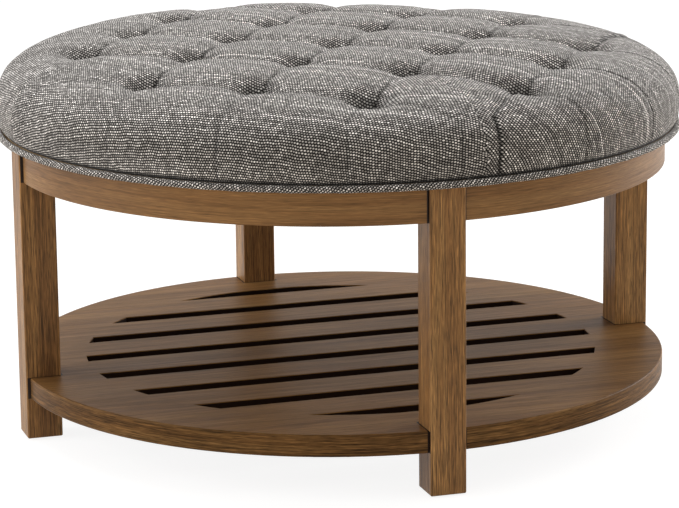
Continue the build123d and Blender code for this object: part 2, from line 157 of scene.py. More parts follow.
def radius_of(tree, x, y):
    """Distance from the table's upright middle line."""
    squares = maths(tree, "ADD", maths(tree, "MULTIPLY", x, x), maths(tree, "MULTIPLY", y, y))
    return maths(tree, "SQRT", squares)


def nearer_axis(tree, x, y):
    """Distance from the nearer of the two lines on which the legs stand."""
    return maths(tree, "MINIMUM", maths(tree, "ABSOLUTE", x), maths(tree, "ABSOLUTE", y))


def mixed(tree, share, first, second, blend="MIX"):
    """Colour mix; share is how much of the second shows."""
    made = tree.nodes.new("ShaderNodeMix")
    made.data_type = "RGBA"
    made.blend_type = blend
    for index, value in ((0, share), (6, first), (7, second)):
        if isinstance(value, bpy.types.NodeSocket):
            tree.links.new(value, made.inputs[index])
        else:
            made.inputs[index].default_value = value
    return made.outputs[2]


def bump(tree, shader, height, strength, distance):
    tree.links.new(
        node(tree, "ShaderNodeBump",
             {"Height": height, "Strength": strength, "Distance": distance}),
        shader.inputs["Normal"],
    )


def material(name, roughness=0.5, specular=0.5, metallic=0.0):
    made = bpy.data.materials.new(name)
    made.use_nodes = True
    shader = made.node_tree.nodes["Principled BSDF"]
    shader.inputs["Roughness"].default_value = roughness
    shader.inputs["Specular IOR Level"].default_value = specular
    shader.inputs["Metallic"].default_value = metallic
    return made, made.node_tree, shader


# Wood: sizes in metres, because shaders read the object's own coordinates

BEND_RADIUS = 0.387
RIM_START = 0.3855
# Bounds of the painted shade: in the slots, on the legs' flanks by the shelf and apron, in the notches and
# at the apron's ends
SLOT_CIRCLE = 0.3075
SHELF_MIDDLE = 0.0633
BELOW_SHELF_TOP = 0.0751
ABOVE_SHELF_BOTTOM = 0.0507
HALF_SHELF_JOINT = 0.0125
NOTCH_HALF_WIDTH = 0.0228
NOTCH_DEPTH_START = 0.3477
APRON_END = 0.0226
LEG_FLANK = 0.02075
APRON_JOINT_BOTTOM = 0.3085

STAIN_DARK = srgb(120, 83, 47)
STAIN_MIDDLE = srgb(153, 111, 66)
STAIN_LIGHT = srgb(177, 135, 85)
# Painted shade: the shadow in the gaps where the apron and shelf meet the legs, and inside the shelf's
# slots and notches
JOINT_PAINTED_SHADE = srgb(40, 25, 16)
SHELF_PAINTED_SHADE = srgb(36, 22, 14)

# Stretch of each wood pattern along and across the grain, per metre
BAND_STRETCH = (3.2, 52, 52)
FIBRE_LENGTHWISE = 9
PORE_STRETCH = (55, 1150, 1150)
PATCH_STRETCH = (6, 14, 14)


def grain_space(tree, way):
    """Coordinates with X along the grain, which runs up, across or round the frame, and the plain ones."""
    place = node(tree, "ShaderNodeTexCoord", output=3)
    split = tree.nodes.new("ShaderNodeSeparateXYZ")
    tree.links.new(place, split.inputs[0])
    x, y, z = split.outputs
    if way == "up":
        parts = {0: z, 1: x, 2: y}
    elif way == "across":
        parts = {0: x, 1: y, 2: z}
    else:
        angle = maths(tree, "ARCTAN2", y, x)
        parts = {0: maths(tree, "MULTIPLY", angle, BEND_RADIUS), 1: z, 2: radius_of(tree, x, y)}
    return node(tree, "ShaderNodeCombineXYZ", parts), (x, y, z)


def wood_colour(tree, space, shift=0.0, gain=1.0, figure=1.0, spread=1.0, fine=520.0):
    """Stained wood: broad bands, fine fibres, dark pores and pale flecks, all long along the grain."""
    moved = node(tree, "ShaderNodeVectorMath", {0: space, 1: (shift, shift * 0.37, shift * 0.61)},
                 operation="ADD")
    bands = noise(tree, scaled(tree, moved, BAND_STRETCH), 1.0, 3.0, 0.55, 0.6)
    fibres = noise(tree, scaled(tree, moved, (FIBRE_LENGTHWISE, fine, fine)), 1.0, 2.0, 0.6)
    pores = noise(tree, scaled(tree, moved, PORE_STRETCH), 1.0, 1.0, 0.5)
    patches = noise(tree, scaled(tree, moved, PATCH_STRETCH), 1.0, 2.0, 0.5)
    dark, middle, light = (
        tuple(part * gain for part in stain[:3]) for stain in (STAIN_DARK, STAIN_MIDDLE, STAIN_LIGHT)
    )
    base = ramp(tree, bands, [
        (0.5 - 0.2 / spread, dark), (0.5, middle), (0.5 + 0.22 / spread, light)])
    streaks = ramp(tree, fibres, [
        (0.3, grey(1 - 0.55 * figure)), (0.52, grey(1.0)), (0.72, grey(1 + 0.32 * figure))])
    base = mixed(tree, 1.0, base, streaks, "MULTIPLY")
    clouds = ramp(tree, patches, [(0.3, grey(0.86)), (0.7, grey(1.08))])
    base = mixed(tree, 1.0, base, clouds, "MULTIPLY")
    dashes = ramp(tree, pores, [(0.34, grey(1 - 0.5 * figure)), (0.42, grey(1.0))])
    base = mixed(tree, 1.0, base, dashes, "MULTIPLY")
    flecks = ramp(tree, pores, [(0.56, grey(1.0)), (0.66, grey(1 + 0.55 * figure))])
    base = mixed(tree, 1.0, base, flecks, "MULTIPLY")
    return base, fibres, dashes


def shelf_colour(tree, colour, parts, shift, gain):
    """The shelf's bent rim, a little darker as painted shade, with painted shade on the slot walls and
    round the leg notches, over its flat grain.
    """
    x, y, z = parts
    radius = radius_of(tree, x, y)
    inside = maths(tree, "LESS_THAN", radius, SLOT_CIRCLE)
    below = maths(tree, "LESS_THAN", z, BELOW_SHELF_TOP)
    above = maths(tree, "GREATER_THAN", z, ABOVE_SHELF_BOTTOM)
    wall = maths(tree, "MULTIPLY", maths(tree, "MULTIPLY", inside, below), above)
    bent_space, _ = grain_space(tree, "ring")
    # The bent rim has its own real grain, and is made a fifth darker as painted shade on the
    # outward-facing edge
    bent, _, _ = wood_colour(tree, bent_space, shift, gain * 0.8, 1.0, 0.8)
    rim = maths(tree, "GREATER_THAN", radius, RIM_START)
    colour = mixed(tree, rim, colour, bent)
    narrow = maths(tree, "LESS_THAN", nearer_axis(tree, x, y), NOTCH_HALF_WIDTH)
    far = maths(tree, "MAXIMUM", maths(tree, "ABSOLUTE", x), maths(tree, "ABSOLUTE", y))
    notch = maths(tree, "MULTIPLY", narrow, maths(tree, "GREATER_THAN", far, NOTCH_DEPTH_START))
    # Painted shade inside the slots and in the notches round the legs
    return mixed(tree, maths(tree, "MAXIMUM", wall, notch), colour, SHELF_PAINTED_SHADE)


def leg_colour(tree, colour, parts):
    """Painted shade: dark lines on a leg's flanks where the apron and the shelf meet them, standing in for
    the shadow in those joints.
    """
    x, y, z = parts
    flank = maths(tree, "GREATER_THAN", nearer_axis(tree, x, y), LEG_FLANK)
    at_apron = maths(tree, "GREATER_THAN", z, APRON_JOINT_BOTTOM)
    from_shelf = maths(tree, "ABSOLUTE", maths(tree, "SUBTRACT", z, SHELF_MIDDLE))
    at_shelf = maths(tree, "LESS_THAN", from_shelf, HALF_SHELF_JOINT)
    joint = maths(tree, "MULTIPLY", flank, maths(tree, "MAXIMUM", at_apron, at_shelf))
    return mixed(tree, joint, colour, JOINT_PAINTED_SHADE)


def stained_wood(name, way, shift=0.0, gain=1.0, figure=1.0, spread=1.0, specular=0.26, fine=520.0):
    made, tree, shader = material(name, roughness=0.42, specular=specular)
    space, parts = grain_space(tree, way)
    colour, fibres, dashes = wood_colour(tree, space, shift, gain, figure, spread, fine)
    if way == "across":
        colour = shelf_colour(tree, colour, parts, shift, gain)
    elif way == "ring":
        # Painted shade at the apron's ends, in the gap beside each leg
        ends = maths(tree, "LESS_THAN", nearer_axis(tree, parts[0], parts[1]), APRON_END)
        colour = mixed(tree, ends, colour, JOINT_PAINTED_SHADE)
    else:
        colour = leg_colour(tree, colour, parts)
    tree.links.new(colour, shader.inputs["Base Color"])
    roughness = ramp(tree, fibres, [(0.3, grey(0.5)), (0.7, grey(0.38))])
    tree.links.new(roughness, shader.inputs["Roughness"])
    height = maths(tree, "ADD", maths(tree, "MULTIPLY", fibres, 0.5), dashes)
    bump(tree, shader, height, 0.25, 0.0004)
    return made


def raw_wood(name, light, dark):
    """Unstained wood, its grain upright."""
    made, tree, shader = material(name, roughness=0.75, specular=0.3)
    place = node(tree, "ShaderNodeTexCoord", output=3)
    bands = noise(tree, scaled(tree, place, (40, 40, 5)), 1.0, 3.0, 0.6, 0.8)
    fibres = noise(tree, scaled(tree, place, (500, 500, 60)), 1.0, 2.0, 0.6)
    base = ramp(tree, bands, [(0.3, dark), (0.7, light)])
    base = mixed(tree, 1.0, base, ramp(tree, fibres, [(0.3, grey(0.8)), (0.7, grey(1.05))]), "MULTIPLY")
    tree.links.new(base, shader.inputs["Base Color"])
    bump(tree, shader, fibres, 0.3, 0.0004)
    return made


PLIES_PER_METRE = 333.0


def plywood():
    made, tree, shader = material("plywood_deck", roughness=0.7, specular=0.3)
    place = node(tree, "ShaderNodeTexCoord", output=3)
    split = tree.nodes.new("ShaderNodeSeparateXYZ")
    tree.links.new(place, split.inputs[0])
    face = noise(tree, scaled(tree, place, (6, 60, 60)), 1.0, 3.0, 0.6, 0.7)
    base = ramp(tree, face, [(0.3, srgb(186, 150, 108)), (0.7, srgb(214, 184, 142))])
    layer = maths(tree, "FRACT", maths(tree, "MULTIPLY", split.outputs[2], PLIES_PER_METRE))
    plies = ramp(tree, layer, [(0.48, grey(0.72)), (0.52, grey(1.0))])
    base = mixed(tree, 1.0, base, plies, "MULTIPLY")
    tree.links.new(base, shader.inputs["Base Color"])
    bump(tree, shader, face, 0.2, 0.0004)
    return made


def plain(name, colour, roughness, metallic=0.0, grain=600.0, depth=0.0003, strength=0.3):
    """One colour with a fine speck, for cloth, foam, twine, nylon and metal."""
    made, tree, shader = material(name, roughness=roughness, metallic=metallic)
    place = node(tree, "ShaderNodeTexCoord", output=3)
    speck = noise(tree, place, grain, 3.0, 0.6)
    low = tuple(part * 0.82 for part in colour[:3])
    high = tuple(min(1.0, part * 1.12) for part in colour[:3])
    tree.links.new(ramp(tree, speck, [(0.3, low), (0.7, high)]), shader.inputs["Base Color"])
    bump(tree, shader, speck, strength, depth)
    return made


# Fabric: the thread's pitch in metres, the rest in threads

THREAD = 0.0030
SWAY = 1.8
SLUB_LENGTH = 48.0
SLUB_TONE = 0.7
# Colour of the painted shade in the cushion's creases, pleats, pits and seam tuck
FOLD_PAINTED_SHADE = srgb(30, 29, 28)
YARN_STOPS = (
    (0.15, srgb(92, 89, 87)),
    (0.45, srgb(140, 137, 135)),
    (0.65, srgb(178, 175, 173)),
    (0.8, srgb(236, 233, 231)),
)


def tweed(name, gain=1.0, slubs=0.016, with_painted_shade=True):
    """Tweed of uneven grey threads with pale slubs, laid out by the mesh's fabric coordinates."""
    made, tree, shader = material(name, roughness=0.92, specular=0.15)
    flat = node(tree, "ShaderNodeUVMap", uv_map="weave")
    split = tree.nodes.new("ShaderNodeSeparateXYZ")
    tree.links.new(flat, split.inputs[0])
    sway = noise(tree, flat, 24.0, 2.0, 0.6)
    sway_other = noise(tree, scaled(tree, flat, (1.31, 0.83, 1.0)), 29.0, 2.0, 0.6)
    across = maths(tree, "ADD", maths(tree, "DIVIDE", split.outputs[0], THREAD),
                   maths(tree, "MULTIPLY", sway, SWAY))
    along = maths(tree, "ADD", maths(tree, "DIVIDE", split.outputs[1], THREAD),
                  maths(tree, "MULTIPLY", sway_other, SWAY))
    row = maths(tree, "FLOOR", along)
    across = maths(tree, "ADD", across, maths(tree, "MULTIPLY", row, 0.5))
    column = maths(tree, "FLOOR", across)

    def chance(first, second, seed):
        key = node(tree, "ShaderNodeCombineXYZ", {0: first, 1: second, 2: seed})
        return node(tree, "ShaderNodeTexWhiteNoise", {"Vector": key}, noise_dimensions="3D")

    dot = chance(column, row, 3.7)
    thread = chance(row, 0.0, 5.3)
    run = maths(tree, "FLOOR", maths(tree, "ADD", maths(tree, "DIVIDE", column, SLUB_LENGTH),
                                     maths(tree, "MULTIPLY", thread, 9.0)))
    slub = maths(tree, "GREATER_THAN", chance(run, row, 9.1), 1.0 - slubs)
    tone = maths(tree, "ADD", maths(tree, "MULTIPLY", dot, 0.42), maths(tree, "MULTIPLY", thread, 0.2))
    tone = maths(tree, "ADD", tone, 0.15)
    tone = maths(tree, "MAXIMUM", tone, maths(tree, "MULTIPLY", slub, SLUB_TONE))
    colour = ramp(tree, tone, YARN_STOPS)
    # Painted shade and highlight on each thread: dark between the threads, lighter on their crowns
    hump_u = maths(tree, "SINE", maths(tree, "MULTIPLY", maths(tree, "FRACT", across), math.pi))
    hump_v = maths(tree, "SINE", maths(tree, "MULTIPLY", maths(tree, "FRACT", along), math.pi))
    hump = maths(tree, "MULTIPLY", maths(tree, "MULTIPLY_ADD", hump_u, 0.8, 0.2), hump_v)
    shade = ramp(tree, hump, [
        (0.25, grey(0.01 * gain)), (0.5, grey(0.45 * gain)), (0.85, grey(2.7 * gain))])
    colour = mixed(tree, 1.0, colour, shade, "MULTIPLY")
    blotch = noise(tree, flat, 16.0, 2.0, 0.5)
    unevenness = ramp(tree, blotch, [(0.3, grey(0.95)), (0.7, grey(1.05))])
    colour = mixed(tree, 1.0, colour, unevenness, "MULTIPLY")
    # Painted shade from the mesh's fold attribute: creases, pleats, pits and the tuck over the welt
    if with_painted_shade:
        fold = node(tree, "ShaderNodeAttribute", output=2, attribute_name="fold")
        colour = mixed(tree, fold, colour, FOLD_PAINTED_SHADE)
    tree.links.new(colour, shader.inputs["Base Color"])
    shader.inputs["Sheen Weight"].default_value = 0.1
    shader.inputs["Sheen Roughness"].default_value = 0.5
    height = maths(tree, "ADD", hump, maths(tree, "MULTIPLY", slub, 0.5))
    bump(tree, shader, height, 0.35, 0.0005)
    return made


# Cushion mesh: sizes in millimetres

CELLS = 144
CROWN_STEPS = 600
EDGE_RADIUS = 403.0
EASING_WIDTH = 30
TUCK_HEIGHT = 355.4

# Radius and height down the side, from the crown's edge to the tuck over the welt
SIDE_OUTLINE = (
    (403.6, 378.0),
    (403.0, 370.0),
    (402.4, 363.5),
    (401.3, 360.0),
    (399.8, 357.6),
    (398.2, 355.9),
)

# Pits, pillows and the folds between the tufts
PIT_RADIUS = 34.0
PIT_DEPTH = 25.0
NEAR_WALL = 1.6
FAR_WALL = 0.85
PILLOW_DEPTH = 7.0
PILLOW_REACH = 60.0
ROW_FOLD_DEPTH = 5.5
LINE_FOLD_DEPTH = 3.0
FOLD_REACH = 24.0
PLEAT_SAG = 5.0
PLEAT_SAG_SHARE = 0.6

# The fuller shoulder, the unevenness of the padding and of the cloth
FULLNESS = 7.0
FULL_SIDE = math.radians(132.0)
FULL_SIDE_SPREAD = math.radians(58.0)
FULL_START_RADIUS = 150.0
FULL_RISE_WIDTH = 200.0
FULL_FALL_WIDTH = 10.0
PADDING_RIPPLE = 0.9
PADDING_RIPPLE_SCALE = 41.0
CLOTH_RIPPLE = 0.35
CLOTH_RIPPLE_SCALE = 9.0

# How the cloth is laid: straight over the crown, then down the side
SIDE_START_RADIUS = 385
STRAIGHT_RUN = 190.0

# Simulation: its frames, the most that it may move a point, and what it holds
SWELL_FRAMES = 20
SWELL_CAP = 1.8
HELD_FOLD = 0.3
HELD_FOLD_WIDTH = 4.0
HELD_TUFT_RADIUS = 8.0
HELD_BELOW = 364.0

# Creases that run from the tufts: share of the way they reach, flanks, depth and painted shade line; then
# the painted shade in the pits
LEAVING_CREASE = {"reach_share": 0.62, "power": 0.6, "left": 2.6, "right": 16.0, "depth": 3.6}
ROW_CREASE = {"reach_share": 0.4, "power": 1.0, "left": 20.0, "right": 4.0, "depth": 3.4}
LEAVING_LINE_WIDTH = 2.0
ROW_LINE_WIDTH = 2.6
ROW_LINE_SHARE = 0.28
PIT_SHADE = 0.88

# Pleats at the crown's edge and down the side
PLEAT_BEND_RADIUS = 388.0
PLEAT_TURN_RADIUS = 386.0
PLEAT_SIDE_RADIUS = 400.0
PLEAT_DEPTH = 3.2
PLEAT_LIFT = 1.2
PLEAT_LEFT = 2.6
PLEAT_RIGHT = 10.0
PLEAT_LINE_WIDTH = 1.4
STRONG_PLEAT_DEGREES = 3.5

# Seam over the welt, and the painted shade in the tuck there
CREASED_FROM = 358.5
CREASED_RISE = 5.0
SEAM_SHADE_TOP = 361.0
SEAM_SHADE_HEIGHT = 3.0
SEAM_SHADE = 0.9


def meridian():
    """Half outline of the upholstered body, from the crown's middle to the tuck over the welt."""
    turn = np.linspace(0, math.pi / 2, CROWN_STEPS)
    radius = CUSHION_RADIUS * np.sin(turn) ** (2 / CROWN_WIDTH_POWER)
    height = dome_height(radius)
    points = np.concatenate([np.stack([radius, height], -1), np.array(SIDE_OUTLINE)])
    run = np.concatenate([[0], np.cumsum(np.hypot(*np.diff(points, axis=0).T))])
    return points, run


def disc_grid(cells):
    """A square grid spread evenly over the unit disc, its sides set to the tuft lattice."""
    line = np.linspace(-1, 1, cells + 1)
    a, b = np.meshgrid(line, line, indexing="ij")
    a, b = a.ravel(), b.ravel()
    wide = np.abs(a) > np.abs(b)
    safe_a = np.where(wide, a, 1.0)
    safe_b = np.where(~wide & (b != 0), b, 1.0)
    reach = np.where(wide, a, b)
    angle = np.where(wide, math.pi / 4 * b / safe_a, math.pi / 2 - math.pi / 4 * a / safe_b)
    angle = angle + np.where(reach < 0, math.pi, 0.0)
    return np.abs(reach), angle + TUFT_TURN


def segment_distance(points, start, end):
    """Distance to a segment, the share along it, and the signed side."""
    way = end - start
    length = np.hypot(*way)
    way = way / length
    offset = points - start
    along = offset @ way
    side = offset @ np.array([-way[1], way[0]])
    past = np.clip(along, 0, length)
    return np.hypot(offset[:, 0] - past * way[0], offset[:, 1] - past * way[1]), past / length, side


def neighbour_folds():
    """Start, end, depth and direction of the fold between each two neighbouring tufts."""
    for (row, line), place in TUFTS.items():
        for step, depth in (((1, 0), ROW_FOLD_DEPTH), ((0, 1), LINE_FOLD_DEPTH)):
            other = (row + step[0], line + step[1])
            if other in TUFTS:
                yield place, TUFTS[other], depth, step


def pleats():
    """Start, bend and direction of each pleat that runs outward from an edge tuft."""
    for (row, line), place in TUFTS.items():
        for step in ((1, 0), (-1, 0), (0, 1), (0, -1)):
            way = step[0] * ROW_WAY + step[1] * LINE_WAY
            if (row + step[0], line + step[1]) in TUFTS:
                continue
            along = place @ way
            reach = -along + math.sqrt(along ** 2 + PLEAT_BEND_RADIUS ** 2 - place @ place)
            yield place, place + way * reach, step


def pit_share(points, place):
    """Share of a pit's depth at each point; one wall is steeper than the wall across from it."""
    offset = points - place
    across = offset @ LINE_WAY
    away = np.hypot(offset @ ROW_WAY, across * np.where(across < 0, NEAR_WALL, FAR_WALL))
    return np.clip(1 - away / PIT_RADIUS, 0, 1) ** 1.2


def dips(points):
    """How far the cover is drawn down at each point, by tufts and by the folds between them."""
    narrow = np.zeros(len(points))
    broad = np.zeros(len(points))
    for place in TUFTS.values():
        away = np.hypot(*(points - place).T)
        narrow += (PIT_DEPTH * pit_share(points, place)) ** 2.5
        broad += (PILLOW_DEPTH * np.clip(1 - away / PILLOW_REACH, 0, 1) ** 1.5) ** 4
    for start, end, depth, _ in neighbour_folds():
        away, share, _ = segment_distance(points, start, end)
        sag = depth * (1.0 + 0.9 * (2 * share - 1) ** 2)
        narrow += (sag * np.clip(1 - away / FOLD_REACH, 0, 1) ** 1.3) ** 2.5
        broad += (0.45 * PILLOW_DEPTH * np.clip(1 - away / PILLOW_REACH, 0, 1) ** 2) ** 4
    for start, end, _ in pleats():
        away, share, _ = segment_distance(points, start, end)
        sag = PLEAT_SAG * np.clip(1 - share / PLEAT_SAG_SHARE, 0, 1) ** 1.2
        narrow += (sag * np.clip(1 - away / FOLD_REACH, 0, 1) ** 1.3) ** 2.5
    return narrow ** 0.4 + broad ** 0.25


def ripple(points, scale, seeds):
    """Smooth repeatable unevenness between about -1 and 1."""
    value = 0.0
    for seed in seeds:
        heading = seed * 2.399
        along = points[:, 0] * math.cos(heading) + points[:, 1] * math.sin(heading)
        value = value + np.sin(along / scale + seed * 1.7)
    return value / len(seeds)


def fuller_shoulder(radius, angle):
    """Extra height of the shoulder toward the back left, where the photograph's outline is higher."""
    turned = (angle - FULL_SIDE + math.pi) % (2 * math.pi) - math.pi
    side = np.exp(-(turned / FULL_SIDE_SPREAD) ** 4)
    rise = np.clip((radius - FULL_START_RADIUS) / FULL_RISE_WIDTH, 0, 1)
    fall = np.clip((EDGE_RADIUS - radius) / FULL_FALL_WIDTH, 0, 1)
    return FULLNESS * side * rise * fall


def build_cushion_mesh():
    """The tufted form before the simulation, and how many of its points are on the outside."""
    points, run = meridian()
    share, angle = disc_grid(CELLS)
    drop = share * run[-1]
    radius = np.interp(drop, run, points[:, 0])
    height = np.interp(drop, run, points[:, 1])
    flat = np.stack([radius * np.cos(angle), radius * np.sin(angle)], -1)
    easing = np.clip((EDGE_RADIUS - radius) / EASING_WIDTH, 0, 1)
    height = height - dips(flat) * easing
    unevenness = PADDING_RIPPLE * easing * ripple(flat, PADDING_RIPPLE_SCALE, (1, 2, 3))
    height = height + unevenness + fuller_shoulder(radius, angle)
    vertices = np.column_stack([flat, height])
    side = CELLS + 1
    index = np.arange(side * side).reshape(side, side)
    faces = np.stack([index[:-1, :-1], index[1:, :-1], index[1:, 1:], index[:-1, 1:]], -1)
    rim = np.concatenate([index[0, :-1], index[:-1, -1], index[-1, :0:-1], index[:0:-1, 0]])
    faces = faces.reshape(-1, 4).tolist()
    rings = [rim]
    count = len(rim)
    rim_angle = angle[rim]
    for ring_height in (TUCK_HEIGHT, DECK_TOP):
        start = len(vertices)
        ring = np.column_stack([
            DECK_CLEAR_RADIUS * np.cos(rim_angle),
            DECK_CLEAR_RADIUS * np.sin(rim_angle),
            np.full(count, ring_height),
        ])
        vertices = np.concatenate([vertices, ring])
        rings.append(np.arange(start, start + count))
    for outer, inner in zip(rings, rings[1:]):
        for step in range(count):
            after = (step + 1) % count
            faces.append([int(outer[after]), int(outer[step]), int(inner[step]), int(inner[after])])
    mesh = bpy.data.meshes.new("cushion")
    mesh.from_pydata((vertices * MM).tolist(), [], faces)
    mesh.validate()
    mesh.update()
    return mesh, side * side


def points_of(mesh):
    """The mesh's points in millimetres."""
    place = np.empty(len(mesh.vertices) * 3)
    mesh.vertices.foreach_get("co", place)
    return place.reshape(-1, 3) / MM


def lay_weave(mesh):
    """Fabric coordinates: straight threads over the crown, falling straight down each side sector."""
    points, run = meridian()
    place = points_of(mesh)
    radius = np.hypot(place[:, 0], place[:, 1])
    even_height = place[:, 2] - fuller_shoulder(radius, np.arctan2(place[:, 1], place[:, 0]))
    profile = np.interp(even_height, points[::-1, 1], run[::-1])
    flat_run = np.interp(radius, points[:CROWN_STEPS, 0], run[:CROWN_STEPS])
    drop = np.where(radius < SIDE_START_RADIUS, flat_run, np.maximum(profile, flat_run * 0.97))
    angle = np.arctan2(place[:, 1], place[:, 0]) - TUFT_TURN
    starts = np.empty(len(mesh.loops), int)
    mesh.loops.foreach_get("vertex_index", starts)
    weave = mesh.uv_layers.new(name="weave")
    values = np.zeros((len(mesh.loops), 2))
    for face in mesh.polygons:
        loops = list(face.loop_indices)
        corners = starts[loops]
        middle = place[corners].mean(0)
        heading = math.atan2(middle[1], middle[0]) - TUFT_TURN
        sector = round(heading / (math.pi / 2))
        turned = angle[corners] - sector * math.pi / 2
        bent = drop[corners]
        straight = np.minimum(bent, STRAIGHT_RUN)
        out = straight * np.cos(turned) + (bent - straight)
        over = (straight + (bent - straight) * 0.9) * np.sin(turned)
        cos_s, sin_s = math.cos(sector * math.pi / 2), math.sin(sector * math.pi / 2)
        values[loops, 0] = (out * cos_s - over * sin_s) * MM
        values[loops, 1] = (out * sin_s + over * cos_s) * MM
    weave.data.foreach_set("uv", values.ravel())


def inflate(piece, held, cap):
    """Cloth simulation: air pressure swells the padding between the held points, up to a cap."""
    mesh = piece.data
    count = len(mesh.vertices)
    before = np.empty(count * 3)
    mesh.vertices.foreach_get("co", before)
    group = piece.vertex_groups.new(name="held")
    for level in sorted(set(held.tolist())):
        if level > 0:
            group.add([int(i) for i in np.nonzero(held == level)[0]], float(level), "REPLACE")
    cloth = piece.modifiers.new("swell", "CLOTH")
    settings = cloth.settings
    settings.quality = 4
    settings.mass = 0.3
    settings.tension_stiffness = 18
    settings.compression_stiffness = 18
    settings.shear_stiffness = 6
    settings.bending_stiffness = 0.8
    settings.use_pressure = True
    settings.uniform_pressure_force = 4.0
    settings.vertex_group_mass = "held"
    settings.effector_weights.gravity = 0
    cloth.collision_settings.use_collision = False
    cloth.point_cache.frame_start = 1
    cloth.point_cache.frame_end = SWELL_FRAMES
    scene = bpy.context.scene
    for moment in range(1, SWELL_FRAMES + 1):
        scene.frame_set(moment)
    graph = bpy.context.evaluated_depsgraph_get()
    swollen = np.empty(count * 3)
    piece.evaluated_get(graph).data.vertices.foreach_get("co", swollen)
    piece.modifiers.remove(cloth)
    scene.frame_set(1)
    before = before.reshape(-1, 3)
    move = swollen.reshape(-1, 3) - before
    length = np.linalg.norm(move, axis=1)
    print("swell: mean %.2f mm, most %.2f mm" % (length.mean() / MM, length.max() / MM))
    soft = cap * np.tanh(length / cap)
    move *= (soft / np.maximum(length, 1e-9))[:, None]
    mesh.vertices.foreach_set("co", (before + move).ravel())
    mesh.update()


def crease(points):
    """Sharp creases that run from the tufts, one flank steep and the other gentle, their painted shade,
    and the painted shade in the pits.
    """
    depth = np.zeros(len(points))
    shade = np.zeros(len(points))
    for start, end, _, step in neighbour_folds():
        away, share, side = segment_distance(points, start, end)
        leaving = step == (0, 1)
        form = LEAVING_CREASE if leaving else ROW_CREASE
        nearest = share if leaving else np.minimum(share, 1 - share)
        fade = np.clip(1 - nearest / form["reach_share"], 0, 1) ** form["power"]
        reach = np.where(side > 0, form["left"], form["right"])
        depth = np.maximum(depth, form["depth"] * fade * np.clip(1 - away / reach, 0, 1) ** 1.2)
        # Painted shade line along each crease
        if leaving:
            shade = np.maximum(shade, fade * np.exp(-(away / LEAVING_LINE_WIDTH) ** 2))
        else:
            line = np.clip(1 - nearest / ROW_LINE_SHARE, 0, 1) ** 0.6
            shade = np.maximum(shade, line * np.exp(-(away / ROW_LINE_WIDTH) ** 2))
    # Painted shade in each pit, darkest where it is deepest
    for place in TUFTS.values():
        shade = np.maximum(shade, PIT_SHADE * pit_share(points, place) ** 0.9)
    return depth, shade


def pleat_fold(points, radius, angle):
    """Pleats from the edge tufts, over the crown's edge and down the side; most are faint. Also gives a
    painted shade line along each pleat.
    """
    depth = np.zeros(len(points))
    lift = np.zeros(len(points))
    shade = np.zeros(len(points))
    for start, bend, step in pleats():
        away, share, side = segment_distance(points, start, bend)
        hit = math.atan2(bend[1], bend[0])
        turned = (angle - hit + math.pi) % (2 * math.pi) - math.pi
        low = radius > PLEAT_TURN_RADIUS
        side = np.where(low, turned * PLEAT_SIDE_RADIUS, side)
        away = np.where(low, np.abs(turned) * PLEAT_SIDE_RADIUS, away)
        heading = (math.degrees(hit - TUFT_TURN) + 45) % 90
        strong = step[0] == 0 and min(heading, 90 - heading) < STRONG_PLEAT_DEGREES
        strength, line_shade = (1.0, 1.0) if strong else (0.25, 0.6)
        reach = np.where(side > 0, PLEAT_LEFT, PLEAT_RIGHT)
        depth = np.maximum(depth, PLEAT_DEPTH * strength * np.clip(1 - away / reach, 0, 1) ** 1.2)
        swell = np.where(side > 0, np.exp(-((away - 6.0) / 5.0) ** 2), 0)
        lift = np.maximum(lift, PLEAT_LIFT * strength * swell)
        # Painted shade line along the pleat's groove
        line = np.exp(-(away / PLEAT_LINE_WIDTH) ** 2)
        shade = np.maximum(shade, line_shade * (0.5 + 0.5 * share) * line)
    return depth - lift, shade


def refine(piece):
    """Two levels of subdivision, written into the mesh, and the flat underside closed."""
    piece.modifiers.new("fine", "SUBSURF").levels = 2
    graph = bpy.context.evaluated_depsgraph_get()
    fine = bpy.data.meshes.new_from_object(piece.evaluated_get(graph))
    piece.modifiers.clear()
    shape = bmesh.new()
    shape.from_mesh(fine)
    bmesh.ops.holes_fill(shape, edges=[e for e in shape.edges if e.is_boundary], sides=0)
    shape.to_mesh(fine)
    shape.free()
    piece.data = fine


def held_points(place, outer_count):
    """How firmly the simulation holds each point: tufts and edge fully, folds in part."""
    flat = place[:, :2]
    held = np.zeros(len(place))
    for start, end, _, _ in neighbour_folds():
        away, _, _ = segment_distance(flat, start, end)
        held = np.maximum(held, HELD_FOLD * (away < HELD_FOLD_WIDTH))
    for tuft in TUFTS.values():
        held = np.where(np.hypot(*(flat - tuft).T) < HELD_TUFT_RADIUS, 1.0, held)
    held = np.where(place[:, 2] < HELD_BELOW, 1.0, held)
    held[outer_count:] = 1.0
    return held


